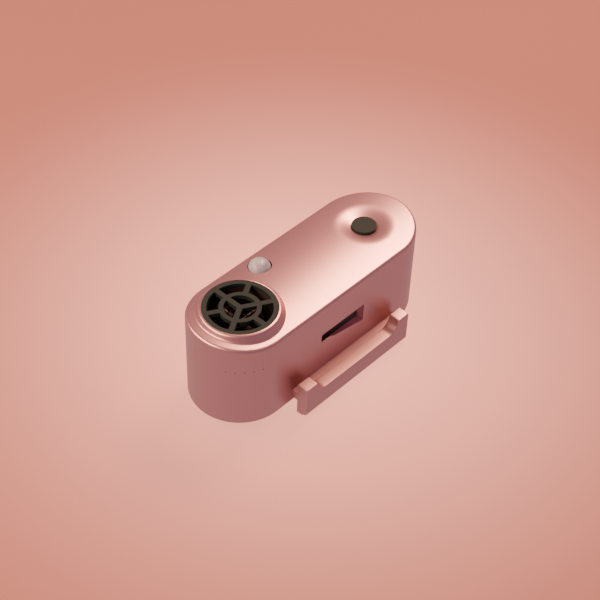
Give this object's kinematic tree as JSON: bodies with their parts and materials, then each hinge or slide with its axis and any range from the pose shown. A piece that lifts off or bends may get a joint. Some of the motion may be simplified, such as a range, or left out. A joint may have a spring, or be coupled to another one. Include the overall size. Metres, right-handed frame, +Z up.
{
  "type": "travel hair dryer",
  "caption": "Palm-sized cordless blower: stadium-shaped housing with a raised round grilled outlet, push button in a dish, domed sensor, charging slot and a hook bracket.",
  "frame": {"origin": "on the surface it stands on, below the middle of the whole, bracket included; the housing's own middle plane is 4.775 mm towards +Y", "axes": "+X along the housing from the outlet to the button, +Y from the bracket's wall to the plain wall, +Z up through the top with the outlet"},
  "size_m": [0.1372, 0.0596, 0.0584],
  "materials": {
    "housing_paint": "metallic lacquer, satin, on moulded plastic",
    "base_plastic": "fine-grained moulded plastic",
    "grille_plastic": "dark olive-brown moulded plastic, fine grain",
    "button_plastic": "dark olive-brown, soft-touch",
    "lens_plastic": "milky, faceted, translucent",
    "inner_plastic": "black moulded nylon",
    "grey_plastic": "grey moulded plastic",
    "clear_plastic": "clear light guide",
    "foot_rubber": "soft rubber",
    "mica": "pressed mica sheet",
    "heating_wire": "drawn resistance wire",
    "screw_steel": "zinc-plated",
    "spring_steel": "spring wire",
    "shaft_steel": "ground",
    "bearing_brass": "sintered bronze",
    "copper_winding": "enamelled winding over a steel core",
    "magnet": "bonded ferrite",
    "socket_steel": "drawn shell",
    "board": "green solder mask over glass-filled board",
    "chip_plastic": "black moulded packages",
    "cell_wrap": "shrink wrap over a steel can",
    "strap_nickel": "nickel strip",
    "filter_mesh": "woven nylon"
  },
  "bodies": {
    "housing": {"housing_shell": "housing_paint", "hook_bracket": "housing_paint", "base_cover": "base_plastic", "rubber_feet": "foot_rubber", "outlet_grille": "grille_plastic", "heater_duct": "inner_plastic", "heater_plate_across": "mica", "heater_plate_along": "mica", "heater_coil": "heating_wire", "fan_frame": "inner_plastic", "lower_bearing": "bearing_brass", "upper_bearing": "bearing_brass", "motor_stator": "copper_winding", "fan_screws": "screw_steel", "intake_filter": "filter_mesh", "push_switch": "inner_plastic", "button_spring": "spring_steel", "sensor_lens": "lens_plastic", "sensor_shroud": "inner_plastic", "sensor_can": "shaft_steel", "control_board": "board", "power_board": "board", "board_chips": "chip_plastic", "port_panel": "inner_plastic", "charging_socket": "socket_steel", "front_battery_cell": "cell_wrap", "back_battery_cell": "cell_wrap", "cell_straps": "strap_nickel", "battery_cradle": "grey_plastic", "light_pipes": "clear_plastic", "light_strip": "board", "base_screws": "screw_steel", "cradle_screws": "screw_steel", "control_board_screws": "screw_steel", "power_board_screws": "screw_steel", "bracket_screws": "screw_steel"},
    "rotor": {"fan_rotor": "grey_plastic", "magnet_ring": "magnet", "fan_shaft": "shaft_steel"},
    "button": {"button_cap": "button_plastic", "switch_plunger": "grey_plastic"}
  },
  "joints": [
    {"name": "fan_spin", "type": "hinge", "parent": "housing", "child": "rotor", "pos_m": [-0.0432, 0.00477, 0.03], "axis": [0, 0, 1], "continuous": true},
    {"name": "button_press", "type": "slide", "parent": "housing", "child": "button", "axis": [0, 0, -1], "range_m": [0, 0.001], "stiffness_N_per_m": 900, "springref_m": -0.0004, "deforming": ["button_spring"]}
  ]
}
